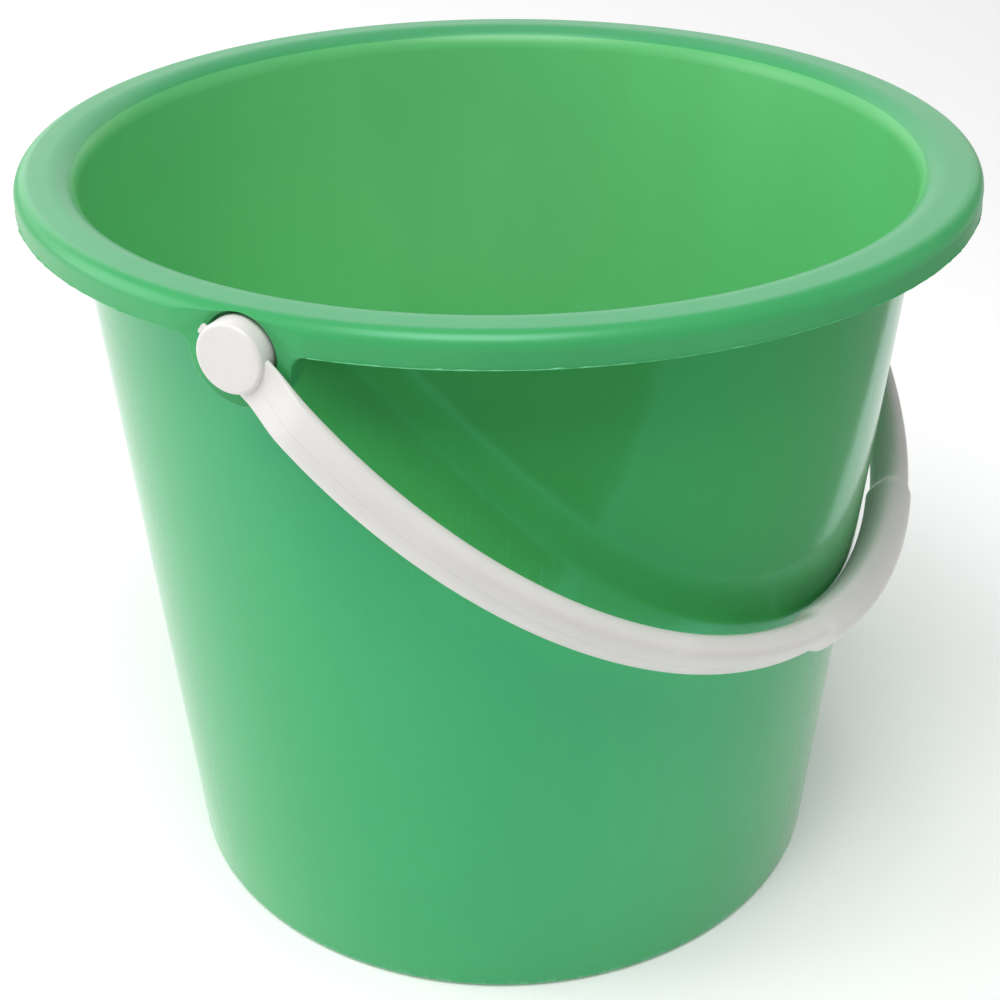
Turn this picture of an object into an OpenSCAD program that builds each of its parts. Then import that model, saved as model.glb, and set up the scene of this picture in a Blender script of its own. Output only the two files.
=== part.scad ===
// Round tapered plastic bucket with a flanged rim and a swinging bail handle.
// Millimetres, +Z up, origin at the centre of the base ring. The bail pivots about X
// and hangs against the wall on the -Y side.

/* [Bucket] */
// Height from the foot to the top of the rim
height = 266; // [225:1:320]
// Outer radius of the rim's skirt
rim_r = 160; // [157:1:192]
// Outer radius of the wall at the foot
base_r = 118.8; // [99:0.1:122]
// Width of the rim's underside between the wall and the skirt's outer face
rim_overhang = 18.3; // [15.5:0.1:22]
// Thickness of the wall, the rim and the skirt
wall_t = 2; // [1.6:0.1:2.5]
// Thickness of the floor
floor_t = 2.4; // [1.8:0.1:3]

/* [Rim] */
// Depth of the skirt below the top of the rim
skirt_h = 10.2; // [8.5:0.1:12]
// Radius of the roll from the inside of the wall to the rim's top
lip_r = 9.45; // [7.5:0.05:11]
// Radius of the rim's outer top corner
corner_r = 5; // [4:0.1:6]

/* [Foot] */
// Height of the floor's underside above the ground
foot_h = 4.5; // [3:0.1:6]
// Width of the foot ring
foot_w = 3.6; // [3.2:0.1:5]
// Radius of the foot's outer edge
foot_r = 2.6; // [1.5:0.1:3]
// Radius between the floor and the wall inside
heel_r = 6; // [4:0.1:9]

/* [Ears] */
// Depth of the pivot axis below the top of the rim
pivot_drop = 12.6; // [12.2:0.1:15]
// How far the flat pad of an ear lies inside the rim's radius
pad_cut = 1.4; // [1.1:0.1:1.7]
// Radius of the round lobe that hangs below the skirt
lobe_r = 16.5; // [15:0.1:20]
// Radius of the hollow that the bail's end disc sits in
pocket_r = 11.4; // [11.1:0.1:12]
// Depth of that hollow below the pad
pocket_d = 3.2; // [2.6:0.1:3.8]
// Rounding of the hollow's mouth
mouth_r = 1.6; // [1:0.1:2]
// Thickness of the plate that carries the pin
plate_t = 3; // [2.5:0.1:3.6]
// Radius of the fillets between lobe and skirt
lobe_fillet = 5; // [4:0.1:6]

/* [Bail] */
// How far the middle of the hand grip passes outside the rim's radius as the bail swings
grip_clear = 26; // [22:0.5:34]
// Width of the bail across its broad face
bail_w = 15.4; // [13:0.1:18.4]
// Thickness of the bail beside its end discs
bail_root_t = 3.2; // [2.7:0.1:3.8]
// Thickness of the bail where its legs join the arch
bail_leg_t = 6; // [5:0.1:7.2]
// Thickness of the bail beside the hand grip
bail_t = 10; // [8.4:0.1:12]
// Length of the hand grip along the arch
grip_l = 97; // [81:1:116]
// Width of the hand grip
grip_w = 16.2; // [13.5:0.1:19.4]
// Thickness of the hand grip
grip_t = 13.7; // [11.5:0.1:16.4]

/* [Pivots] */
// Radius of the bail's round end discs
disc_r = 10.5; // [9:0.1:10.8]
// How far an end disc's face stands above the bail beside it
disc_step = 1.45; // [0.8:0.05:2]
// Edge radius of an end disc
disc_edge = 1.2; // [0.6:0.1:1.5]
// Radius of a pivot pin
pin_r = 4.2; // [3.5:0.1:5]
// Radius of the snap head behind the plate
head_r = 5.4; // [5.1:0.1:6.4]
// Length of the snap head
head_l = 2.5; // [2:0.1:3]

/* [Clearances] */
// Radial clearance of a pin in its hole
pin_gap = 0.08; // [0.03:0.01:0.1]
// Clearance between the bail and the ear's faces
face_gap = 0.4; // [0.35:0.01:0.6]
// Clearance between the resting hand grip and the wall
rest_gap = 0.4; // [0.35:0.01:0.6]

/* [Hidden] */
$fn = 180;
green = [0.22, 0.62, 0.37];
white = [0.93, 0.92, 0.90];
lap = 0.5;                                        // overlap of joined shapes

// Wall line: outer radius at a height, and its lean from the vertical
skirt_z = height - skirt_h;
wall_top_r = rim_r - rim_overhang;
lean = atan((wall_top_r - base_r) / skirt_z);
wall_across = wall_t / cos(lean);
function wall_out(z) = base_r + z * tan(lean);
function wall_in(z) = wall_out(z) - wall_across;

// Centres of the profile's arcs
lip_z = height - lip_r;
lip_c = wall_in(lip_z) + lip_r / cos(lean);
corner_c = rim_r - corner_r;
corner_z = height - corner_r;
heel_z = foot_h + floor_t + heel_r;
heel_c = wall_in(heel_z) - heel_r / cos(lean);
foot_c = wall_out(foot_r) - foot_r / cos(lean);

// Ears, outwards along X from the axis of the bucket
pivot_z = height - pivot_drop;
pad_x = rim_r - pad_cut;
pocket_x = pad_x - pocket_d;
plate_x = pocket_x - plate_t;
pad_half = sqrt(rim_r * rim_r - pad_x * pad_x);
pad_back = pad_x - 1.1 * wall_t;                   // a little behind the skirt's inner face
lobe_drop = pivot_z - skirt_z;                    // pivot below (-) or above (+) the skirt's edge

// Bail, in its own plane: u outwards along the pivot axis, v away from it
bail_reach = rim_r + grip_clear;                  // pivot axis to the middle of the grip
bail_in = pad_x + face_gap;
leg_out = bail_in + bail_leg_t;
arch_in_v = bail_reach - bail_t / 2 - bail_in;    // centre of the arch's inner arc
arch_out_v = bail_reach + bail_t / 2 - leg_out;   // centre of the arch's outer arc
root_v = disc_r - 3;                              // where the leg starts, inside the disc
head_lead = 0.6;                                  // how much the head's tip is slimmer than the pin
disc_back = pocket_x + face_gap;
disc_face = bail_in + bail_root_t + disc_step;
shoulder_l = 5;                                   // length over which the grip swells
swell = (grip_t - bail_t) / 2;
section_n = 2.6;                                  // roundness exponent of the bail's section
section_pts = 24;
leg_steps = 10;
arch_steps = 84;

// Angle below the horizontal at which the hand grip lies on the wall. Seen along X the
// grip's section is a rounded oval at bail_reach from the pivot, and the wall is a line.
wall_gap_line = base_r * cos(lean) + pivot_z * sin(lean);
dual_n = section_n / (section_n - 1);
function oval_reach(a) =
    pow(pow(grip_t / 2 * cos(a), dual_n) + pow(grip_w / 2 * sin(a), dual_n), 1 / dual_n);
function grip_gap(a) = bail_reach * cos(a) - wall_gap_line - oval_reach(a) - rest_gap;
function settle(lo, hi, n = 30) =
    n == 0 ? lo : grip_gap((lo + hi) / 2) > 0 ? settle((lo + hi) / 2, hi, n - 1)
                                              : settle(lo, (lo + hi) / 2, n - 1);
rest_angle = settle(5, 85) + lean;

// ---------------------------------------------------------------- bucket

module arc_band(r, t, from, to) {
    far = 2 * r;
    intersection() {
        difference() {
            circle(r);
            circle(r - t);
        }
        polygon([[0, 0], far * [cos(from), sin(from)],
                 far * [cos((from + to) / 2), sin((from + to) / 2)], far * [cos(to), sin(to)]]);
    }
}

module wall_profile() {
    top = [-cos(lean), sin(lean)];
    polygon([[wall_out(0), 0], [lip_c, lip_z] + (lip_r - wall_t) * top,
             [lip_c, lip_z] + lip_r * top, [wall_in(0), 0]]);
}

module rim_profile() {
    translate([lip_c, lip_z]) arc_band(lip_r, wall_t, 90, 180 - lean);
    translate([lip_c - lap / 10, height - wall_t]) square([corner_c - lip_c + lap / 5, wall_t]);
    translate([corner_c, corner_z]) arc_band(corner_r, wall_t, 0, 90);
    translate([rim_r - wall_t, skirt_z]) square([wall_t, corner_z - skirt_z + lap / 10]);
}

module floor_profile() {
    inner_floor = foot_h + floor_t;
    translate([0, foot_h]) square([wall_in(foot_h) + lap, floor_t]);
    translate([wall_out(0) - foot_w, 0]) square([foot_w - wall_t / 2, foot_h + lap]);
    difference() {
        polygon([[heel_c, inner_floor - lap], [wall_in(inner_floor) + lap, inner_floor - lap],
                 [wall_in(heel_z) + lap, heel_z], [heel_c, heel_z]]);
        translate([heel_c, heel_z]) circle(heel_r);
        translate([heel_c, heel_z]) square([heel_r - lap, lap]);
    }
}

module foot_edge() {
    difference() {
        translate([foot_c, -lap]) square([2 * foot_r, foot_r + lap - foot_r * sin(lean)]);
        translate([foot_c, foot_r]) circle(foot_r);
    }
}

module shell_body() {
    rotate_extrude()
        difference() {
            union() {
                wall_profile();
                rim_profile();
                floor_profile();
            }
            foot_edge();
        }
}

// Everything inside the rim's outer surface
module rim_envelope() {
    rotate_extrude() {
        square([corner_c, height]);
        square([rim_r, corner_z]);
        translate([corner_c, corner_z]) circle(corner_r);
    }
}

// Solid of revolution about a pivot axis: x of the profile is the radius, y is the
// distance outwards along X
module about_pivot(side) {
    translate([0, 0, pivot_z]) rotate([0, side * 90, 0]) rotate_extrude() children();
}

module ear_outline() {
    fillet_v = lobe_drop + lobe_fillet;
    fillet_u = sqrt(pow(lobe_r + lobe_fillet, 2) - fillet_v * fillet_v);
    circle(lobe_r);
    translate([-pad_half, -lobe_drop]) square([2 * pad_half, height]);
    for (s = [-1, 1])
        difference() {
            polygon([[0, 0], [0, -lobe_drop + lap], [s * fillet_u, -lobe_drop + lap],
                     [s * fillet_u, -fillet_v],
                     lobe_r / (lobe_r + lobe_fillet) * [s * fillet_u, -fillet_v]]);
            translate([s * fillet_u, -fillet_v]) circle(lobe_fillet);
        }
}

module ear(side) {
    intersection() {
        rim_envelope();
        union() {
            translate([side > 0 ? pad_back : -pad_x, 0, pivot_z])
                rotate([90, 0, 90]) linear_extrude(pad_x - pad_back) ear_outline();
            about_pivot(side)
                translate([0, plate_x]) square([lobe_r, pad_x - plate_x]);
        }
    }
}

module ear_cuts(side) {
    // flat face of the pad
    translate([side > 0 ? pad_x : -2 * rim_r, -rim_r / 2, pivot_z - 2 * lobe_r])
        cube([2 * rim_r - pad_x, rim_r, 4 * lobe_r]);
    // hollow with its rounded mouth, and the pin hole
    about_pivot(side) {
        translate([0, pocket_x]) square([pocket_r, pad_x - pocket_x + lap]);
        translate([0, plate_x - lap]) square([pin_r + pin_gap, plate_t + 2 * lap]);
        difference() {
            translate([0, pad_x - mouth_r]) square([pocket_r + mouth_r, mouth_r + lap]);
            translate([pocket_r + mouth_r, pad_x - mouth_r]) circle(mouth_r);
        }
    }
}

module bucket_shell() color(green) {
    difference() {
        union() {
            shell_body();
            for (side = [-1, 1]) ear(side);
        }
        for (side = [-1, 1]) ear_cuts(side);
    }
}

// ---------------------------------------------------------------- bail

function ease(x) = let (c = min(max(x, 0), 1)) c * c * (3 - 2 * c);

// A station of the bail is [inner point, outer point, width]
function leg_station(k) =
    let (f = k / leg_steps, v = root_v + f * (arch_in_v - root_v),
         out_v = root_v + f * (arch_out_v - root_v),
         t = bail_root_t + (bail_leg_t - bail_root_t) * ease((out_v - disc_r) / (arch_out_v - disc_r)))
    [[bail_in, v], [bail_in + t, out_v], bail_w];

function arch_station(a) =
    let (along = abs(a - 90) * PI / 180 * (bail_in + leg_out) / 2,
         g = ease((grip_l / 2 - along) / shoulder_l + 0.5), d = [cos(a), sin(a)])
    [[0, arch_in_v] + (bail_in - g * swell) * d, [0, arch_out_v] + (leg_out + g * swell) * d,
     bail_w + g * (grip_w - bail_w)];

function flip(s) = [[-s[0][0], s[0][1]], [-s[1][0], s[1][1]], s[2]];

bail_stations = concat([for (k = [0 : leg_steps - 1]) leg_station(k)],
                       [for (k = [0 : arch_steps]) arch_station(180 * k / arch_steps)],
                       [for (k = [leg_steps - 1 : -1 : 0]) flip(leg_station(k))]);

function rounded(x) = sign(x) * pow(abs(x), 2 / section_n);

// Points of a station's section, the bail lying in the XY plane and reaching towards -Y
function section(s) =
    let (mid = (s[0] + s[1]) / 2, half = (s[1] - s[0]) / 2)
    [for (j = [0 : section_pts - 1])
        let (a = 360 * j / section_pts, p = mid + rounded(cos(a)) * half)
        [p[0], -p[1], rounded(sin(a)) * s[2] / 2]];

module bail_arch() {
    n = len(bail_stations);
    m = section_pts;
    points = [for (s = bail_stations) each section(s)];
    sides = [for (i = [0 : n - 2], j = [0 : m - 1])
        let (a = i * m + j, b = i * m + (j + 1) % m)
        each [[a, b + m, b], [a, a + m, b + m]]];
    ends = [[for (j = [0 : m - 1]) j], [for (j = [m - 1 : -1 : 0]) (n - 1) * m + j]];
    polyhedron(points, concat(sides, ends), convexity = 6);
}

// End disc, pivot pin and snap head, turned about the pivot axis
module bail_end(side) {
    rotate([0, side * 90, 0]) rotate_extrude() {
        translate([0, disc_back]) square([disc_r, disc_face - disc_back - disc_edge]);
        translate([0, disc_face - disc_edge - lap]) square([disc_r - disc_edge, disc_edge + lap]);
        translate([disc_r - disc_edge, disc_face - disc_edge]) circle(disc_edge);
        head_x = plate_x - face_gap;
        translate([0, head_x - lap]) square([pin_r, disc_back - head_x + 2 * lap]);
        polygon([[0, head_x - head_l], [pin_r - head_lead, head_x - head_l], [head_r, head_x - head_l / 3],
                 [head_r, head_x], [0, head_x]]);
    }
}

module bail_handle() color(white)
    translate([0, 0, pivot_z]) rotate([rest_angle, 0, 0]) {
        bail_arch();
        for (side = [-1, 1]) bail_end(side);
    }

bucket_shell();
bail_handle();
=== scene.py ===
import logging
import math
import random
from dataclasses import dataclass, field
from enum import Enum
from typing import Callable, Iterable, Sequence

import bmesh
import bpy
from mathutils import Matrix, Vector


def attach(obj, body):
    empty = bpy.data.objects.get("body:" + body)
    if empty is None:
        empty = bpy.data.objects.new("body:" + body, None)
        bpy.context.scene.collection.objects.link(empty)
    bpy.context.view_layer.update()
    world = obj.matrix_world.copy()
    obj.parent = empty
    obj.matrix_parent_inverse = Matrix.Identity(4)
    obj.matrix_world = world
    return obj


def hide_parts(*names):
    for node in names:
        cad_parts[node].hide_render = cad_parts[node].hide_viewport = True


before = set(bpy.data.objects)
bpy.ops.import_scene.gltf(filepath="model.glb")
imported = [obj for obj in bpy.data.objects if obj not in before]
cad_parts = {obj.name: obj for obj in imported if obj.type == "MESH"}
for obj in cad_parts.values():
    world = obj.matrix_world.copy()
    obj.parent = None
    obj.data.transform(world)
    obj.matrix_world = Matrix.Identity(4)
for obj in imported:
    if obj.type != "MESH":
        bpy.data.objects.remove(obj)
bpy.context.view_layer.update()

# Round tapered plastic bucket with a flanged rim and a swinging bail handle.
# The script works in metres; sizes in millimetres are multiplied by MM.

MM = 0.001
MERGE = 0.02 * MM
log = logging.getLogger("bucket")

Point2 = tuple[float, float]
Point3 = tuple[float, float, float]
Colour = tuple[float, float, float, float]
Placing = Callable[[float, float, float], Point3]

NEUTRAL: Colour = (1.0, 1.0, 1.0, 1.0)


# ---------------------------------------------------------------- shader building


class Val:
    """A shader value that takes part in Python arithmetic.

    Args:
        shader: The shader that the value's node belongs to.
        socket: The output socket that carries the value.
    """

    def __init__(self, shader: "Shader", socket: bpy.types.NodeSocket) -> None:
        """Keep the shader and the socket."""
        self.shader = shader
        self.socket = socket

    def __add__(self, other: "Val | float") -> "Val":
        """Return self + other."""
        return self.shader.math("ADD", self, other)

    def __radd__(self, other: float) -> "Val":
        """Return other + self."""
        return self.shader.math("ADD", other, self)

    def __sub__(self, other: "Val | float") -> "Val":
        """Return self - other."""
        return self.shader.math("SUBTRACT", self, other)

    def __rsub__(self, other: float) -> "Val":
        """Return other - self."""
        return self.shader.math("SUBTRACT", other, self)

    def __mul__(self, other: "Val | float") -> "Val":
        """Return self * other."""
        return self.shader.math("MULTIPLY", self, other)

    def __rmul__(self, other: float) -> "Val":
        """Return other * self."""
        return self.shader.math("MULTIPLY", other, self)

    def __abs__(self) -> "Val":
        """Return the absolute value."""
        return self.shader.math("ABSOLUTE", self)


class Shader:
    """A material whose node tree is built with a few short methods.

    Args:
        name: The material's name.
    """

    def __init__(self, name: str) -> None:
        """Start an empty node tree with an output and a Principled shader."""
        self.material = bpy.data.materials.new(name)
        self.material.use_nodes = True
        self.tree = self.material.node_tree
        self.tree.nodes.clear()
        output = self.tree.nodes.new("ShaderNodeOutputMaterial")
        self.surface = self.tree.nodes.new("ShaderNodeBsdfPrincipled")
        self.tree.links.new(self.surface.outputs[0], output.inputs["Surface"])

    def node(self, kind: str, settings: dict | None = None,
             inputs: dict | None = None) -> bpy.types.Node:
        """Add a node.

        Args:
            kind: The node's type.
            settings: Attributes of the node, set first.
            inputs: Values or links of its sockets, by name or number.

        Returns:
            The new node.
        """
        made = self.tree.nodes.new(kind)
        for key, value in (settings or {}).items():
            setattr(made, key, value)
        for key, value in (inputs or {}).items():
            self.feed(made.inputs[key], value)
        return made

    def feed(self, socket: bpy.types.NodeSocket, value: object) -> None:
        """Link a value to a socket, or set the socket's own value."""
        if isinstance(value, Val):
            self.tree.links.new(value.socket, socket)
        elif isinstance(value, bpy.types.NodeSocket):
            self.tree.links.new(value, socket)
        else:
            socket.default_value = value

    def math(self, operation: str, a: "Val | float", b: "Val | float | None" = None) -> Val:
        """Return the result of a Math node on one or two values."""
        made = self.node("ShaderNodeMath", {"operation": operation}, {0: a})
        if b is not None:
            self.feed(made.inputs[1], b)
        return Val(self, made.outputs[0])

    def smooth(self, value: Val, low: float, high: float) -> Val:
        """Return 0 below low, 1 above high and a smooth step between them."""
        made = self.node("ShaderNodeMapRange", {"interpolation_type": "SMOOTHSTEP"},
                         {"Value": value, "From Min": low, "From Max": high})
        return Val(self, made.outputs["Result"])

    def band(self, value: Val, centre: float, half: float, soft: float) -> Val:
        """Return 1 near a centre value and 0 further than half plus soft from it."""
        return 1 - self.smooth(abs(value - centre), half, half + soft)

    def place(self, scale: Point3 = (1, 1, 1)) -> bpy.types.NodeSocket:
        """Return object coordinates, stretched by a scale along each axis."""
        where = self.node("ShaderNodeTexCoord").outputs["Object"]
        made = self.node("ShaderNodeMapping", None, {"Vector": where, "Scale": scale})
        return made.outputs["Vector"]

    def axes(self) -> tuple[Val, Val, Val]:
        """Return the object coordinates as three values in metres."""
        made = self.node("ShaderNodeSeparateXYZ", None, {"Vector": self.place()})
        return tuple(Val(self, made.outputs[i]) for i in range(3))

    def noise(self, scale: float, detail: float = 2.0, rough: float = 0.5,
              stretch: Point3 = (1, 1, 1)) -> Val:
        """Return a noise value between 0 and 1.

        Args:
            scale: Waves per metre, roughly.
            detail: Number of finer layers.
            rough: Strength of the finer layers.
            stretch: Scale of the coordinates along each axis.

        Returns:
            The noise.
        """
        made = self.node("ShaderNodeTexNoise", {"noise_dimensions": "3D"},
                         {"Vector": self.place(stretch), "Scale": scale, "Detail": detail,
                          "Roughness": rough})
        return Val(self, made.outputs["Fac"])

    def specks(self, scale: float, size: float, share: float) -> Val:
        """Return 1 on sparse round specks and 0 elsewhere.

        Args:
            scale: Cells per metre.
            size: Radius of a speck, in cells.
            share: Share of the cells that hold one, 0 to 1.

        Returns:
            The mask.
        """
        made = self.node("ShaderNodeTexVoronoi", {"feature": "F1"},
                         {"Vector": self.place(), "Scale": scale})
        near = 1 - self.smooth(Val(self, made.outputs["Distance"]), size * 0.6, size)
        pick = self.node("ShaderNodeSeparateColor", None, {"Color": made.outputs["Color"]})
        return near * self.smooth(Val(self, pick.outputs[0]), 1 - share, 1 - share + 0.01)

    def mix(self, factor: Val, a: "Colour | bpy.types.NodeSocket",
            b: "Colour | bpy.types.NodeSocket") -> bpy.types.NodeSocket:
        """Return the colour a where the factor is 0 and b where it is 1."""
        made = self.node("ShaderNodeMix", {"data_type": "RGBA"}, {0: factor, 6: a, 7: b})
        return made.outputs[2]

    def bump(self, height: Val, distance: float, strength: float = 1.0) -> bpy.types.NodeSocket:
        """Return the normal of a bump whose height is in units of distance, in metres."""
        made = self.node("ShaderNodeBump", None,
                         {"Height": height, "Distance": distance, "Strength": strength})
        return made.outputs["Normal"]

    def set(self, **values: object) -> None:
        """Set or link sockets of the Principled shader, spaces written as underscores."""
        for key, value in values.items():
            self.feed(self.surface.inputs[key.replace("_", " ")], value)


def shade(colour: Colour, by: float) -> Colour:
    """Return a colour made lighter or darker by a factor."""
    return (colour[0] * by, colour[1] * by, colour[2] * by, 1.0)


# ---------------------------------------------------------------- finishes


class Side(Enum):
    """Which face of the moulding a finish is for."""

    WALL = 0
    INSIDE = 1
    RIM = 2


@dataclass(frozen=True)
class ShellPlastic:
    """Green moulded plastic of the bucket.

    The wall is polished outside, the inside is satin from the mould's core, and the rim
    and the ears are satin, with a painted sheen: the rim's top is mixed towards a paler colour.
    """

    side: Side
    base: Colour = (0.056, 0.372, 0.086, 1.0)
    polish: float = 0.13
    gloss: float = 1.0
    gloss_tint: Colour = (0.15, 1.0, 1.0, 1.0)
    grain: float = 0.10
    # Strength and colour of the painted sheen on the rim's top, a paler colour that stands in for
    # light falling on it.
    top_sheen: float = 0.0
    top_sheen_colour: Colour = (0.150, 0.370, 0.250, 1.0)
    scuffed: Colour = (0.22, 0.55, 0.33, 1.0)
    speck: Colour = (0.012, 0.07, 0.025, 1.0)
    cloudy: float = 0.025
    peel: float = 0.00003
    foot_z: float = 3.0 * MM
    skirt_z: float = 255.8 * MM
    skirt_r: float = 157.0 * MM
    rim_z: float = 266.0 * MM
    flat_r: float = 155.0 * MM

    def material(self) -> bpy.types.Material:
        """Build the node tree.

        Returns:
            The material.
        """
        s = Shader(f"shell_{self.side.name.lower()}")
        x, y, z = s.axes()
        cloud = s.noise(9.0, 3.0, 0.55)
        flow = s.noise(30.0, 3.0, 0.6, (1.0, 1.0, 0.12))
        haze = s.noise(55.0, 4.0, 0.62)
        scratch = self.scratches(s)
        specks = s.specks(45.0, 0.022, 0.05)
        r = s.math("SQRT", x * x + y * y)
        scuff = self.scuffs(s, r, z)
        light = shade(self.base, 1 + self.cloudy)
        dark = shade(self.base, 1 - self.cloudy)
        colour = s.mix(s.smooth(cloud * 0.6 + flow * 0.4, 0.38, 0.62), dark, light)
        colour = s.mix(scuff * 0.28, colour, self.scuffed)
        # Painted sheen: the flat top of the rim is mixed towards a paler colour that stands in for
        # the light and reflection it catches.
        top = s.smooth(z, self.rim_z - 4.5 * MM, self.rim_z - 1.0 * MM)
        flat = 1 - s.smooth(r, self.flat_r, self.flat_r + 2.2 * MM)
        sheen_mask = top * flat * (0.85 + cloud * 0.3)
        colour = s.mix(sheen_mask * self.top_sheen, colour, self.top_sheen_colour)
        colour = s.mix(specks * 0.75, colour, self.speck)
        rough = self.polish + (haze - 0.5) * 0.07 + scratch * 0.10 + scuff * 0.30
        peel = s.noise(210.0, 2.0, 0.45)
        fine = s.noise(1500.0, 2.0, 0.5)
        height = peel + fine * self.grain - scratch * 0.35 - scuff * s.noise(700.0, 3.0) * 1.5
        s.set(Base_Color=colour, Roughness=rough, Normal=s.bump(height, self.peel),
              IOR=1.49, Specular_IOR_Level=self.gloss, Specular_Tint=self.gloss_tint)
        return s.material

    def scratches(self, s: Shader) -> Val:
        """Return sparse fine marks that run up and down the wall."""
        lines = s.noise(900.0, 1.0, 0.4, (1.0, 1.0, 0.018))
        where = s.smooth(s.noise(14.0, 2.0), 0.52, 0.66)
        return s.smooth(lines, 0.66, 0.72) * where

    def scuffs(self, s: Shader, r: Val, z: Val) -> Val:
        """Return wear on the foot, the skirt's lower edge and the rim's top."""
        broken = s.smooth(s.noise(160.0, 4.0, 0.65), 0.46, 0.62)
        foot = 1 - s.smooth(z, self.foot_z * 0.3, self.foot_z * 1.6)
        outer = s.smooth(r, self.skirt_r - MM, self.skirt_r + MM)
        edge = s.band(z, self.skirt_z, 0.25 * MM, 0.5 * MM) * outer * 0.8
        patches = s.smooth(s.noise(420.0, 3.0, 0.6), 0.60, 0.70)
        top = s.smooth(z, self.rim_z - 0.8 * MM, self.rim_z) * patches * 0.25
        return (foot + edge) * broken + top


@dataclass(frozen=True)
class BailPlastic:
    """White satin moulded plastic of the bail."""

    base: Colour = (0.76, 0.74, 0.715, 1.0)
    rubbed: Colour = (0.66, 0.63, 0.58, 1.0)
    speck: Colour = (0.28, 0.26, 0.24, 1.0)
    satin: float = 0.36
    peel: float = 0.00003
    seam_half: float = 0.10 * MM
    seam_soft: float = 0.12 * MM

    def material(self) -> bpy.types.Material:
        """Build the node tree.

        Returns:
            The material.
        """
        s = Shader("bail_plastic")
        cloud = s.noise(24.0, 3.0, 0.6)
        haze = s.noise(130.0, 4.0, 0.6)
        specks = s.specks(120.0, 0.035, 0.03)
        rub = s.smooth(s.noise(60.0, 5.0, 0.68), 0.56, 0.72)
        seam = self.seam(s)
        light = shade(self.base, 1.02)
        dark = shade(self.base, 0.955)
        colour = s.mix(s.smooth(cloud, 0.36, 0.64), dark, light)
        colour = s.mix(rub * 0.22, colour, self.rubbed)
        colour = s.mix(specks * 0.6, colour, self.speck)
        rough = self.satin + (haze - 0.5) * 0.14 + rub * 0.12
        fine = s.noise(1100.0, 3.0, 0.55)
        height = haze * 0.8 + fine * 0.5 + seam * 2.4
        s.set(Base_Color=colour, Roughness=rough, Normal=s.bump(height, self.peel),
              IOR=1.49, Specular_IOR_Level=0.5)
        return s.material

    def seam(self, s: Shader) -> Val:
        """Return the mould's parting line, along the middle of the bail's narrow faces."""
        across = s.node("ShaderNodeUVMap", {"uv_map": "bail"}).outputs["UV"]
        split = s.node("ShaderNodeSeparateXYZ", None, {"Vector": across})
        return s.band(Val(s, split.outputs[1]), 0.0, self.seam_half, self.seam_soft)


@dataclass(frozen=True)
class FloorFinish:
    """Plain matt finish of the studio's floor and cards."""

    base: Colour = (0.90, 0.90, 0.90, 1.0)
    rough: float = 0.75
    lit: float = 0.0

    def material(self) -> bpy.types.Material:
        """Build the node tree.

        Returns:
            The material.
        """
        s = Shader("studio_floor")
        s.set(Base_Color=self.base, Roughness=self.rough, Specular_IOR_Level=0.1,
              Emission_Color=NEUTRAL, Emission_Strength=self.lit)
        return s.material


# ---------------------------------------------------------------- mesh helpers


def arc(centre: Point2, radius: float, start: float, end: float, steps: int) -> list[Point2]:
    """Return points on an arc, from one angle to another in degrees."""
    angles = [math.radians(start + (end - start) * i / steps) for i in range(steps + 1)]
    return [(centre[0] + radius * math.cos(a), centre[1] + radius * math.sin(a)) for a in angles]


def line(a: Point2, b: Point2, steps: int) -> list[Point2]:
    """Return points on a straight line from a to b, without a itself."""
    return [(a[0] + (b[0] - a[0]) * i / steps, a[1] + (b[1] - a[1]) * i / steps)
            for i in range(1, steps + 1)]


def make_object(name: str, verts: Sequence[Sequence[float]], faces: Sequence[Sequence[int]],
                slots: Sequence[int] | None = None) -> bpy.types.Object:
    """Make a mesh object from points in millimetres.

    Args:
        name: Name of the object.
        verts: Points in millimetres.
        faces: Corner numbers of each face.
        slots: Material slot of each face.

    Returns:
        The object, linked to the scene.
    """
    mesh = bpy.data.meshes.new(name)
    mesh.from_pydata([[c * MM for c in v] for v in verts], [], faces)
    if slots:
        mesh.polygons.foreach_set("material_index", list(slots))
    mesh.validate()
    mesh.update()
    obj = bpy.data.objects.new(name, mesh)
    bpy.context.scene.collection.objects.link(obj)
    return obj


def close_normals(obj: bpy.types.Object) -> None:
    """Merge doubled points and turn every face outwards."""
    bm = bmesh.new()
    bm.from_mesh(obj.data)
    bmesh.ops.remove_doubles(bm, verts=bm.verts, dist=MERGE)
    bmesh.ops.recalc_face_normals(bm, faces=bm.faces)
    bm.to_mesh(obj.data)
    bm.free()


def lathe(name: str, profile: Sequence[Point2], turns: int, axis: Placing,
          slots: Sequence[int] | None = None) -> bpy.types.Object:
    """Turn a closed profile about an axis.

    Args:
        name: Name of the object.
        profile: Points of the profile as (radius, height), in millimetres.
        turns: Number of steps round the axis.
        axis: Maps (radius, height, angle) to a point.
        slots: Material slot of each profile edge.

    Returns:
        The object.
    """
    count = len(profile)
    verts, faces, marks = [], [], []
    for i in range(turns):
        angle = 2 * math.pi * i / turns
        verts += [axis(r, h, angle) for r, h in profile]
    for i in range(turns):
        here, there = i * count, (i + 1) % turns * count
        for j in range(count):
            k = (j + 1) % count
            if profile[j][0] == 0 and profile[k][0] == 0:
                continue
            faces.append((here + j, there + j, there + k, here + k))
            marks.append(slots[j] if slots else 0)
    obj = make_object(name, verts, faces, marks)
    close_normals(obj)
    return obj


def about_z(r: float, h: float, angle: float) -> Point3:
    """Return a point turned about Z."""
    return (r * math.cos(angle), r * math.sin(angle), h)


def boolean(obj: bpy.types.Object, tool: bpy.types.Object, operation: str) -> None:
    """Join a tool to an object or cut it away, and remove the tool."""
    modifier = obj.modifiers.new("shape", "BOOLEAN")
    modifier.operation = operation
    modifier.object = tool
    modifier.solver = "EXACT"
    graph = bpy.context.evaluated_depsgraph_get()
    old = obj.data
    new = bpy.data.meshes.new_from_object(obj.evaluated_get(graph), depsgraph=graph)
    obj.modifiers.clear()
    new.name = old.name
    obj.data = new
    bpy.data.meshes.remove(old)
    bpy.data.objects.remove(tool)


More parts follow.
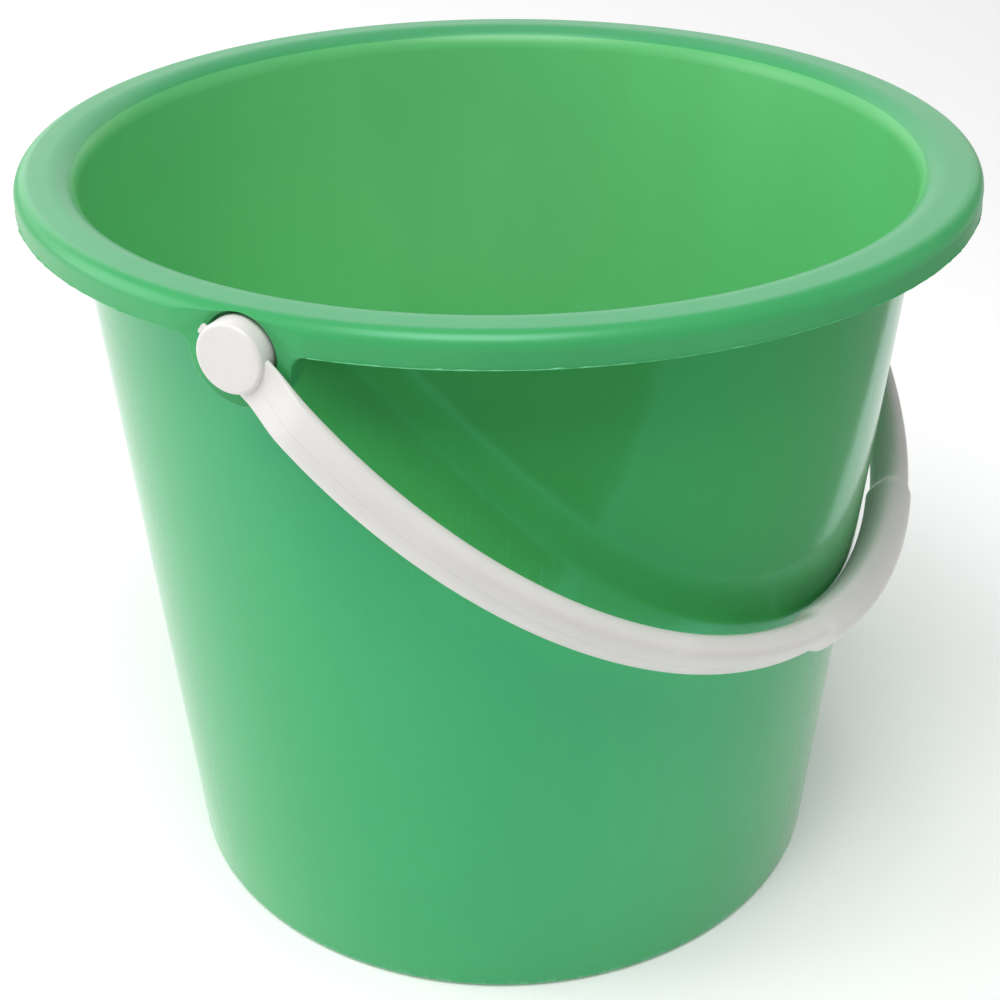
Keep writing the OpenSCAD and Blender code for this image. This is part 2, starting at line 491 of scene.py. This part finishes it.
def smooth_by_angle(obj: bpy.types.Object, degrees: float) -> None:
    """Shade smooth, with sharp edges above an angle."""
    obj.data.shade_smooth()
    obj.data.set_sharp_from_angle(angle=math.radians(degrees))


def mirrored(obj: bpy.types.Object, name: str) -> bpy.types.Object:
    """Return a copy of an object mirrored in X."""
    twin = bpy.data.objects.new(name, obj.data.copy())
    bpy.context.scene.collection.objects.link(twin)
    twin.data.transform(Matrix.Scale(-1, 4, (1, 0, 0)))
    twin.data.flip_normals()
    return twin


def dress(obj: bpy.types.Object, *materials: bpy.types.Material) -> None:
    """Give an object its materials, in the order of its slots."""
    for material in materials:
        obj.data.materials.append(material)


def paint(obj: bpy.types.Object, side: Side) -> None:
    """Give every face of a tool the slot of one finish."""
    obj.data.polygons.foreach_set("material_index", [side.value] * len(obj.data.polygons))


# ---------------------------------------------------------------- bucket


@dataclass
class Bucket:
    """The moulded shell with its rim, its ears and the flash left on its edge.

    Sizes are in millimetres.
    """

    height: float = 266.0
    rim_r: float = 160.0
    base_r: float = 118.8
    rim_overhang: float = 18.3
    wall_t: float = 2.0
    floor_t: float = 2.4
    skirt_h: float = 10.2
    lip_r: float = 9.45
    corner_r: float = 5.0
    foot_h: float = 4.5
    foot_w: float = 3.6
    foot_r: float = 2.6
    ring_fillet: float = 1.2
    heel_r: float = 6.0
    edge_r: float = 0.45
    turns: int = 480
    wall_steps: int = 10
    floor_steps: int = 6
    lip_steps: int = 24
    lip_rim_steps: int = 14
    under_rim_steps: int = 8
    centre_r: float = 6.0
    pivot_drop: float = 12.6
    pad_x: float = 158.6
    pocket_r: float = 11.4
    pocket_x: float = 155.4
    plate_x: float = 152.4
    pad_back: float = 156.4
    lobe_r: float = 16.5
    lobe_fillet: float = 5.0
    lobe_edge: float = 0.5
    mouth_r: float = 1.6
    hole_r: float = 4.28
    web_top: float = 3.6
    web_start: float = 92.0
    hub_gap: float = 0.02
    hub_roof: float = 2.3
    hub_sink: float = 0.7
    pocket_round: float = 0.5
    mouth_flare: Point2 = (1.2, 0.2)
    cut_over: float = 0.01
    cut_top: float = 5.0
    cut_reach: Point3 = (20.0, 60.0, 40.0)
    hole_over: float = 1.0
    flash_seed: int = 11
    flash_waves: int = 26
    flash_turns: int = 1440
    flash_root: float = 0.25
    flash_low: float = 0.10
    flash_out: Point2 = (0.08, 0.26)
    flash_tall: Point2 = (0.20, 0.40)
    flash_bias: float = 0.30
    pieces: list[bpy.types.Object] = field(default_factory=list)

    @property
    def skirt_z(self) -> float:
        """Height of the skirt's lower edge."""
        return self.height - self.skirt_h

    @property
    def pivot_z(self) -> float:
        """Height of the bail's axis."""
        return self.height - self.pivot_drop

    @property
    def lean(self) -> float:
        """Lean of the wall from the vertical, in radians."""
        return math.atan((self.rim_r - self.rim_overhang - self.base_r) / self.skirt_z)

    def wall_out(self, z: float) -> float:
        """Return the wall's outer radius at a height."""
        return self.base_r + z * math.tan(self.lean)

    def wall_in(self, z: float) -> float:
        """Return the wall's inner radius at a height."""
        return self.wall_out(z) - self.wall_t / math.cos(self.lean)

    def profile(self) -> tuple[list[Point2], list[int]]:
        """Trace the shell's section, from under the floor's centre and back to its top.

        Returns:
            The points, and the material slot of the edge after each point.
        """
        lean = math.degrees(self.lean)
        e = self.edge_r
        lip_z = self.height - self.lip_r
        lip = (self.wall_in(lip_z) + self.lip_r / math.cos(self.lean), lip_z)
        corner = (self.rim_r - self.corner_r, self.height - self.corner_r)
        ring_in = self.base_r - self.foot_w
        foot = (self.wall_out(self.foot_r) - self.foot_r / math.cos(self.lean), self.foot_r)
        top = self.foot_h + self.floor_t
        heel = (self.wall_in(top + self.heel_r) - self.heel_r / math.cos(self.lean),
                top + self.heel_r)
        out: list[Point2] = [(0.0, self.foot_h)]
        out += self.sprue_mark()
        fillet = self.ring_fillet
        out += line(out[-1], (ring_in - fillet, self.foot_h), self.floor_steps)
        out += arc((ring_in - fillet, self.foot_h - fillet), fillet, 90, 0, 6)[1:]
        out += line(out[-1], (ring_in, e), 2)
        out += arc((ring_in + e, e), e, 180, 270, 5)[1:]
        out += line(out[-1], (foot[0], 0.0), 1)
        out += arc(foot, self.foot_r, -90, -lean, 12)[1:]
        wall_end = arc(lip, self.lip_r - self.wall_t, 180 - lean, 90, 18)
        out += line(out[-1], wall_end[0], self.wall_steps)
        out += wall_end[1:]
        rim = len(out) - self.under_rim_steps
        out += line(out[-1], (corner[0], corner[1] + self.corner_r - self.wall_t), 3)
        out += arc(corner, self.corner_r - self.wall_t, 90, 0, 8)[1:]
        out += line(out[-1], (self.rim_r - self.wall_t, self.skirt_z + e), 3)
        out += arc((self.rim_r - self.wall_t + e, self.skirt_z + e), e, 180, 270, 5)[1:]
        out += arc((self.rim_r - e, self.skirt_z + e), e, 270, 360, 5)
        out += line(out[-1], (self.rim_r, corner[1]), 4)
        out += arc(corner, self.corner_r, 0, 90, 20)[1:]
        out += line(out[-1], (lip[0], self.height), 4)
        inside = len(out) - 1 + self.lip_rim_steps
        out += arc(lip, self.lip_r, 90, 180 - lean, self.lip_steps)[1:]
        out += line(out[-1], (self.wall_in(heel[1]), heel[1]), self.wall_steps)
        out += arc(heel, self.heel_r, -lean, -90, 14)[1:]
        out += line(out[-1], (self.centre_r, top), self.floor_steps)
        out += line(out[-1], (0.0, top), 3)
        marks = [Side.INSIDE.value if i >= inside else
                 Side.RIM.value if i >= rim else Side.WALL.value for i in range(len(out))]
        return out, marks

    def sprue_mark(self) -> list[Point2]:
        """Return the ring and the cut sprue under the floor's centre."""
        z = self.foot_h
        return [(0.9, z), (1.3, z - 0.1), (1.7, z - 0.7), (2.4, z - 0.75), (2.8, z - 0.1),
                (3.4, z), (8.6, z), (9.0, z + 0.35), (13.0, z + 0.35), (13.4, z)]

    def build(self) -> None:
        """Build the shell and the flash."""
        points, marks = self.profile()
        finishes = [ShellPlastic(Side.WALL).material(),
                    # Painted light: the inside's base is lighter and more saturated than the
                    # wall's, standing in for light that bounces inside and comes through the thin
                    # wall.
                    ShellPlastic(Side.INSIDE, base=(0.110, 0.485, 0.165, 1.0), polish=0.38,
                                 gloss=0.45, gloss_tint=NEUTRAL, grain=0.45).material(),
                    # The rim's finish carries the painted sheen on its top.
                    ShellPlastic(Side.RIM, base=(0.050, 0.372, 0.118, 1.0), polish=0.33,
                                 gloss=0.45, gloss_tint=(0.70, 1.0, 1.0, 1.0), grain=0.3,
                                 top_sheen=0.3).material()]
        shell = lathe("bucket", points, self.turns, about_z, marks)
        dress(shell, *finishes)
        ears = self.ear_solid("ear_right")
        dress(ears, *finishes)
        boolean(ears, mirrored(ears, "ear_left"), "UNION")
        boolean(shell, ears, "UNION")
        cuts = self.ear_cut("ear_cut_right")
        dress(cuts, *finishes)
        boolean(cuts, mirrored(cuts, "ear_cut_left"), "UNION")
        boolean(shell, cuts, "DIFFERENCE")
        smooth_by_angle(shell, 30)
        flash = self.flash()
        dress(flash, finishes[Side.RIM.value])
        self.pieces = [shell, flash]

    def ear_outline(self, inset: float) -> list[Point2]:
        """Return the lobe and the webs that join it to the skirt, as (y, z) from the pivot."""
        drop = self.pivot_z - self.skirt_z
        fillet_z = -(drop + self.lobe_fillet)
        fillet_y = math.sqrt((self.lobe_r + self.lobe_fillet) ** 2 - fillet_z ** 2)
        tangent = math.degrees(math.atan2(fillet_z, fillet_y))
        web = arc((fillet_y, fillet_z), self.lobe_fillet + inset, self.web_start,
                  180 + tangent, 10)
        lobe = arc((0.0, 0.0), self.lobe_r - inset, tangent, -180 - tangent, 60)[1:-1]
        right = [(web[0][0], self.web_top)] + web
        left = [(-y, z) for y, z in reversed(right)]
        return right + lobe + left

    def hub_outline(self) -> list[Point2]:
        """Return the thick disc behind the pocket, cut off under the rim, as (y, z)."""
        top = self.height - self.hub_roof - self.pivot_z
        radius = self.lobe_r - self.hub_gap
        start = math.degrees(math.asin(top / radius))
        return arc((0.0, 0.0), radius, start, -180 - start, 80)

    def slab(self, name: str, layers: Sequence[tuple[float, list[Point2]]]) -> bpy.types.Object:
        """Loft outlines that stand at given distances along X."""
        count = len(layers[0][1])
        verts = [(x, y, self.pivot_z + z) for x, outline in layers for y, z in outline]
        faces: list[tuple[int, ...]] = []
        for i in range(len(layers) - 1):
            for j in range(count):
                a, b = i * count + j, i * count + (j + 1) % count
                faces.append((a, b, b + count, a + count))
        faces.append(tuple(range(count)))
        faces.append(tuple(range(len(verts) - count, len(verts))))
        obj = make_object(name, verts, faces)
        close_normals(obj)
        return obj

    def ear_solid(self, name: str) -> bpy.types.Object:
        """Build what an ear adds to the skirt, on the +X side."""
        e = self.lobe_edge
        steps = [math.radians(a) for a in (0, 22.5, 45, 67.5, 90)]
        layers = [(self.pad_back, self.ear_outline(0.0))]
        layers += [(self.pad_x - e + e * math.sin(a), self.ear_outline(e * (1 - math.cos(a))))
                   for a in steps]
        plate = self.slab(name, layers)
        hub = self.slab("hub", [(self.plate_x, self.hub_outline()),
                                (self.pad_x - self.hub_sink, self.hub_outline())])
        boolean(plate, hub, "UNION")
        paint(plate, Side.RIM)
        return plate

    def about_pivot(self, r: float, h: float, angle: float) -> Point3:
        """Return a point turned about the pivot axis, h outwards along +X."""
        return (h, r * math.cos(angle), self.pivot_z + r * math.sin(angle))

    def ear_cut(self, name: str) -> bpy.types.Object:
        """Build what an ear loses, on the +X side: the pad's face, the pocket, the hole."""
        pad = self.pad_x + self.cut_over
        deep, wide, tall = self.cut_reach
        verts = [(x, y, self.pivot_z + z) for x in (pad, pad + deep) for y in (-wide, wide)
                 for z in (-tall, tall)]
        faces = [(0, 1, 3, 2), (4, 6, 7, 5), (0, 4, 5, 1), (2, 3, 7, 6), (0, 2, 6, 4), (1, 5, 7, 3)]
        face = make_object(name, verts, faces)
        close_normals(face)
        mouth = (self.pocket_r + self.mouth_r, self.pad_x - self.mouth_r)
        bottom = (self.pocket_r - self.pocket_round, self.pocket_x + self.pocket_round)
        points = [(0.0, self.pocket_x)] + arc(bottom, self.pocket_round, -90, 0, 5)
        points += arc(mouth, self.mouth_r, 180, 98, 12)
        edge = mouth[0] + self.mouth_flare[0]
        points += [(edge, self.pad_x + self.mouth_flare[1]), (edge, pad + self.cut_top),
                   (0.0, pad + self.cut_top)]
        boolean(face, lathe("pocket", points, 160, self.about_pivot), "UNION")
        start, stop = self.plate_x - self.hole_over, self.pocket_x + self.hole_over
        hole = [(0.0, start), (self.hole_r, start), (self.hole_r, stop), (0.0, stop)]
        boolean(face, lathe("hole", hole, 96, self.about_pivot), "UNION")
        paint(face, Side.RIM)
        return face

    def flash(self) -> bpy.types.Object:
        """Build the thin ragged flash on the skirt's lower edge.

        Returns:
            The object.
        """
        draw = random.Random(self.flash_seed)
        waves = [(draw.uniform(20, 240), draw.uniform(0, 6.28), draw.uniform(0.3, 1.0))
                 for _ in range(self.flash_waves)]
        turns = self.flash_turns
        verts, faces, keep = [], [], []
        clear = (self.lobe_r + self.lobe_fillet) / self.rim_r
        base = self.rim_r - self.flash_root
        low = self.skirt_z + self.flash_low
        for i in range(turns):
            a = 2 * math.pi * i / turns
            keep.append(abs(math.sin(a)) > clear)
            jag = sum(h * math.sin(round(f) * a + p) for f, p, h in waves) / 6
            out = self.flash_out[0] + self.flash_out[1] * max(0.0, jag + self.flash_bias)
            tall = self.flash_tall[0] + self.flash_tall[1] * max(0.0, jag)
            ring = [(base, low), (self.rim_r + out * 0.7, low + 0.02),
                    (self.rim_r + out, low + tall * 0.5), (base, low + tall + self.flash_root)]
            verts += [about_z(r, z, a) for r, z in ring]
        for i in range(turns):
            k = (i + 1) % turns
            if not (keep[i] and keep[k]):
                continue
            for j in range(4):
                m = (j + 1) % 4
                faces.append((i * 4 + j, k * 4 + j, k * 4 + m, i * 4 + m))
        obj = make_object("skirt_flash", verts, faces)
        bm = bmesh.new()
        bm.from_mesh(obj.data)
        bmesh.ops.delete(bm, geom=[v for v in bm.verts if not v.link_faces], context="VERTS")
        bmesh.ops.recalc_face_normals(bm, faces=bm.faces)
        bm.to_mesh(obj.data)
        bm.free()
        smooth_by_angle(obj, 40)
        return obj

    def finish(self) -> None:
        """Attach the pieces to the bucket's body and hide the CAD shell."""
        for piece in self.pieces:
            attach(piece, "bucket")
        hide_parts("bucket_shell")


# ---------------------------------------------------------------- bail


@dataclass
class Bail:
    """The swinging handle: an arch with a swollen grip, end discs, pins and snap heads.

    Sizes are in millimetres. The bail is built in its own plane, u along the pivot axis
    and v away from it, and turned down to its rest on the wall.
    """

    pivot_z: float = 253.4
    rest_deg: float = 41.7566
    reach: float = 186.0
    width: float = 15.4
    inner: float = 159.0
    root_t: float = 3.2
    leg_t: float = 6.0
    thick: float = 10.0
    grip_l: float = 97.0
    grip_w: float = 16.2
    grip_t: float = 13.7
    shoulder_l: float = 5.0
    root_v: float = 7.5
    disc_r: float = 10.5
    disc_back: float = 155.8
    disc_face: float = 163.65
    disc_edge: float = 1.2
    disc_flat: float = 1.5
    pin_r: float = 4.2
    pin_flare: float = 0.3
    head_x: float = 152.0
    head_r: float = 5.4
    head_l: float = 2.5
    head_tip_r: float = 3.3
    round_r: float = 0.4
    stub_size: Point3 = (1.5, 2.2, 3.2)
    stub_edge: float = 0.35
    stub_sink: float = 0.1
    stub_back: float = 1.1
    stub_tilt: float = 6.0
    round_n: float = 2.6
    section_steps: int = 56
    leg_steps: int = 24
    arch_steps: int = 420
    seam_clear: float = 1.3
    pieces: list[bpy.types.Object] = field(default_factory=list)

    @property
    def inner_v(self) -> float:
        """Distance of the inner arc's centre from the pivot axis."""
        return self.reach - self.thick / 2 - self.inner

    @property
    def outer_v(self) -> float:
        """Distance of the outer arc's centre from the pivot axis."""
        return self.reach + self.thick / 2 - self.inner - self.leg_t

    @staticmethod
    def ease(x: float) -> float:
        """Return a smooth step from 0 to 1."""
        c = min(max(x, 0.0), 1.0)
        return c * c * (3 - 2 * c)

    def leg(self, f: float) -> tuple[Point2, Point2, float]:
        """Return a station of a leg: inner point, outer point and width."""
        out_v = self.root_v + f * (self.outer_v - self.root_v)
        grow = self.ease((out_v - self.disc_r) / (self.outer_v - self.disc_r))
        t = self.root_t + (self.leg_t - self.root_t) * grow
        return ((self.inner, self.root_v + f * (self.inner_v - self.root_v)),
                (self.inner + t, out_v), self.width)

    def arch(self, degrees: float) -> tuple[Point2, Point2, float]:
        """Return a station of the arch: inner point, outer point and width."""
        along = math.radians(abs(degrees - 90)) * (2 * self.inner + self.leg_t) / 2
        g = self.ease((self.grip_l / 2 - along) / self.shoulder_l + 0.5)
        swell = (self.grip_t - self.thick) / 2 * g
        c, s = math.cos(math.radians(degrees)), math.sin(math.radians(degrees))
        return (((self.inner - swell) * c, self.inner_v + (self.inner - swell) * s),
                ((self.inner + self.leg_t + swell) * c,
                 self.outer_v + (self.inner + self.leg_t + swell) * s),
                self.width + g * (self.grip_w - self.width))

    def stations(self) -> list[tuple[Point2, Point2, float]]:
        """Return all stations, from the +X end to the -X end."""
        legs = [self.leg(k / self.leg_steps) for k in range(self.leg_steps)]
        far = [((-a[0], a[1]), (-b[0], b[1]), w) for a, b, w in reversed(legs)]
        return legs + [self.arch(180 * k / self.arch_steps)
                       for k in range(self.arch_steps + 1)] + far

    def in_place(self, u: float, v: float, w: float) -> Point3:
        """Return the world point of a point in the bail's plane, w to its front."""
        c, s = math.cos(math.radians(self.rest_deg)), math.sin(math.radians(self.rest_deg))
        return (u, -v * c - w * s, self.pivot_z - v * s + w * c)

    def rounded(self, x: float) -> float:
        """Return a cosine or sine pulled towards a rounded rectangle."""
        return math.copysign(abs(x) ** (2 / self.round_n), x)

    def build(self) -> None:
        """Build the bail in one piece."""
        bail = self.sweep()
        for side in (1, -1):
            boolean(bail, self.end(side), "UNION")
        smooth_by_angle(bail, 38)
        self.map_seam(bail)
        self.pieces = [bail]

    def sweep(self) -> bpy.types.Object:
        """Sweep the section along the stations.

        Returns:
            The arch with its legs.
        """
        m = self.section_steps
        verts, faces = [], []
        rows = self.stations()
        for inner, outer, width in rows:
            mid = ((inner[0] + outer[0]) / 2, (inner[1] + outer[1]) / 2)
            half = ((outer[0] - inner[0]) / 2, (outer[1] - inner[1]) / 2)
            for j in range(m):
                a = 2 * math.pi * j / m
                k = self.rounded(math.cos(a))
                w = self.rounded(math.sin(a)) * width / 2
                verts.append(self.in_place(mid[0] + k * half[0], mid[1] + k * half[1], w))
        for i in range(len(rows) - 1):
            for j in range(m):
                a, b = i * m + j, i * m + (j + 1) % m
                faces.append((a, b, b + m, a + m))
        faces.append(tuple(range(m)))
        faces.append(tuple(range(len(verts) - m, len(verts))))
        obj = make_object("bail", verts, faces)
        close_normals(obj)
        return obj

    def end(self, side: int) -> bpy.types.Object:
        """Build an end disc with its pin, its snap head and the stub of its gate."""
        e, c, flare = self.disc_edge, self.round_r, self.pin_flare
        tip = self.head_x - self.head_l
        points = [(0.0, tip)] + arc((self.head_tip_r, tip + c), c, -90, -20, 3)
        points += arc((self.head_r - c, self.head_x - 2 * c), c, 0, 40, 3)
        points += [(self.head_r - c, self.head_x), (self.pin_r, self.head_x)]
        points += [(self.pin_r, self.disc_back - flare), (self.pin_r + flare, self.disc_back)]
        points += arc((self.disc_r - c, self.disc_back + c), c, -90, 0, 4)
        points += arc((self.disc_r - e, self.disc_face - e), e, 0, 90, 10)
        points += [(self.disc_r - e - self.disc_flat, self.disc_face), (0.0, self.disc_face)]

        def turn(r: float, h: float, angle: float) -> Point3:
            """Return a point turned about the pivot axis."""
            return (side * h, r * math.cos(angle), self.pivot_z + r * math.sin(angle))

        obj = lathe("end", points, 128, turn)
        boolean(obj, self.gate_stub(side), "UNION")
        return obj

    def gate_stub(self, side: int) -> bpy.types.Object:
        """Build the cut stub of the gate, on the disc's edge away from the leg."""
        bm = bmesh.new()
        bmesh.ops.create_cube(bm, size=1.0)
        bmesh.ops.scale(bm, vec=self.stub_size, verts=bm.verts)
        bmesh.ops.bevel(bm, geom=list(bm.edges), offset=self.stub_edge, segments=3,
                        affect="EDGES")
        c, s = math.cos(math.radians(self.rest_deg)), math.sin(math.radians(self.rest_deg))
        turn = Matrix.Rotation(math.radians(self.rest_deg - self.stub_tilt), 4, "X")
        out = self.disc_r - self.stub_sink
        place = Vector((side * (self.disc_face - self.stub_back), out * c,
                        self.pivot_z + out * s))
        bmesh.ops.transform(bm, matrix=Matrix.Translation(place) @ turn, verts=bm.verts)
        stub = make_object("gate_stub", [v.co[:] for v in bm.verts],
                           [[v.index for v in f.verts] for f in bm.faces])
        bm.free()
        close_normals(stub)
        return stub

    def map_seam(self, obj: bpy.types.Object) -> None:
        """Store the distance across the bail for its parting line, which stops at the discs."""
        layer = obj.data.uv_layers.new(name="bail")
        c, s = math.cos(math.radians(self.rest_deg)), math.sin(math.radians(self.rest_deg))
        for loop in obj.data.loops:
            p = obj.data.vertices[loop.vertex_index].co
            y, z = p.y, p.z - self.pivot_z * MM
            near = math.hypot(y, z) < self.disc_r * self.seam_clear * MM
            clear = 1.0 if near else 0.0
            layer.data[loop.index].uv = (p.x, clear - y * s + z * c)

    def finish(self) -> None:
        """Dress the bail, attach it to the bail's body and hide the CAD handle."""
        white = BailPlastic().material()
        for piece in self.pieces:
            dress(piece, white)
            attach(piece, "bail")
        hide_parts("bail_handle")


# ---------------------------------------------------------------- studio


@dataclass
class Softbox:
    """A rectangular studio light that looks at a point. Metres and watts."""

    name: str
    place: Point3
    target: Point3
    size: Point2
    power: float

    def build(self) -> None:
        """Add the light."""
        data = bpy.data.lights.new(self.name, "AREA")
        data.shape = "RECTANGLE"
        data.size, data.size_y = self.size
        data.energy = self.power
        obj = bpy.data.objects.new(self.name, data)
        obj.location = self.place
        aim = Vector(self.target) - Vector(self.place)
        obj.rotation_euler = aim.to_track_quat("-Z", "Y").to_euler()
        bpy.context.scene.collection.objects.link(obj)


@dataclass
class Studio:
    """Camera, floor, cards, world and lights. Metres, degrees and watts."""

    lens: float = 61.88
    shift_y: float = -0.147
    aim: Point3 = (0.0, 0.0, 0.18464)
    distance: float = 0.61757
    azimuth: float = -63.8
    elevation: float = 25.536
    roll: float = -0.476
    floor_size: float = 60.0
    world: float = 0.25
    boxes: tuple[Softbox, ...] = (
        Softbox("over_front", (-0.68, -0.18, 1.62), (0.0, 0.0, 0.12), (0.9, 0.9), 20.5),
        Softbox("left_side", (-0.706, 1.436, 0.80), (0.0, 0.0, 0.12), (1.2, 1.2), 14.0),
        Softbox("left_back", (0.547, 1.607, 0.80), (0.0, 0.0, 0.12), (1.4, 1.0), 4.0),
        Softbox("backdrop", (1.525, 0.751, 0.90), (0.0, 0.0, 0.30), (3.0, 1.4), 11.0),
        Softbox("right_side", (0.706, -1.436, 0.80), (0.0, 0.0, 0.12), (1.2, 1.2), 1.9),
    )
    glow_power: float = 0.15
    glow_z: float = 0.17
    glow_r: float = 0.05
    floor_lit: float = 0.14
    card_z: float = 0.002
    dark_shade: float = 0.03
    dark_card: tuple[Point2, ...] = (
        (-0.245, -0.18), (-0.315, -0.08), (-0.365, 0.06), (-0.38, 0.25),
        (-0.55, 0.33), (-0.62, -0.45), (-0.18, -0.55))
    grey_shade: float = 0.38
    grey_card: tuple[Point2, ...] = (
        (-0.235, -0.19), (-0.18, -0.55), (0.20, -0.85), (0.90, -0.85),
        (0.90, -0.28), (0.06, -0.25), (-0.07, -0.275))

    def build(self) -> None:
        """Set up the camera, the floor, the cards, the world and the lights."""
        self.camera()
        self.floor()
        self.card("dark_card", self.dark_card, self.dark_shade)
        self.card("grey_card", self.grey_card, self.grey_shade)
        self.light()

    def camera(self) -> None:
        """Place the camera."""
        a, e, r = (math.radians(v) for v in (self.azimuth, self.elevation, self.roll))
        back = Vector((math.sin(a) * math.cos(e), -math.cos(a) * math.cos(e), math.sin(e)))
        right = Vector((math.cos(a), math.sin(a), 0.0))
        up = back.cross(right)
        turned_right = right * math.cos(r) + up * math.sin(r)
        turned_up = up * math.cos(r) - right * math.sin(r)
        data = bpy.data.cameras.new("camera")
        data.lens = self.lens
        data.sensor_width = 36.0
        data.shift_y = self.shift_y
        obj = bpy.data.objects.new("camera", data)
        rows = Matrix((turned_right, turned_up, back)).transposed()
        place = Vector(self.aim) + back * self.distance
        obj.matrix_world = Matrix.Translation(place) @ rows.to_4x4()
        bpy.context.scene.collection.objects.link(obj)
        bpy.context.scene.camera = obj

    def floor(self) -> None:
        """Lay the floor."""
        h = self.floor_size / 2 / MM
        floor = make_object("floor", [(-h, -h, 0), (h, -h, 0), (h, h, 0), (-h, h, 0)],
                            [(0, 1, 2, 3)])
        dress(floor, FloorFinish(lit=self.floor_lit).material())

    def card(self, name: str, corners: Sequence[Point2], shade_of: float) -> None:
        """Lay a card before the bucket that is seen only in its gloss.

        Args:
            name: Name of the card.
            corners: Its corners on the floor.
            shade_of: How light it is, from 0 to 1.
        """
        card = make_object(name, [(x / MM, y / MM, self.card_z / MM) for x, y in corners],
                           [tuple(range(len(corners)))])
        dress(card, FloorFinish(base=shade(NEUTRAL, shade_of)).material())
        for ray in ("camera", "diffuse", "transmission", "volume_scatter", "shadow"):
            setattr(card, f"visible_{ray}", False)

    def light(self) -> None:
        """Set the world and the lights."""
        world = bpy.data.worlds.new("studio")
        world.use_nodes = True
        back = world.node_tree.nodes["Background"]
        back.inputs["Color"].default_value = NEUTRAL
        back.inputs["Strength"].default_value = self.world
        bpy.context.scene.world = world
        bpy.context.scene.view_settings.view_transform = "Standard"
        bpy.context.scene.view_settings.look = "None"
        for box in self.boxes:
            box.build()
        self.glow()

    def glow(self) -> None:
        """Add the light that comes through the thin wall, as a soft fill inside."""
        data = bpy.data.lights.new("glow", "POINT")
        data.energy = self.glow_power
        data.shadow_soft_size = self.glow_r
        obj = bpy.data.objects.new("glow", data)
        obj.location = (0.0, 0.0, self.glow_z)
        obj.visible_camera = obj.visible_glossy = False
        bpy.context.scene.collection.objects.link(obj)


def report(pieces: Iterable[bpy.types.Object]) -> None:
    """Log the name and the number of faces of each piece."""
    for piece in pieces:
        log.info("%s: %d faces", piece.name, len(piece.data.polygons))


def main() -> None:
    """Build the studio and the two sub-assemblies."""
    logging.basicConfig(level=logging.INFO, format="%(name)s %(message)s")
    Studio().build()
    for part in (Bucket(), Bail()):
        part.build()
        part.finish()
        report(part.pieces)


if __name__ == "__main__":
    main()
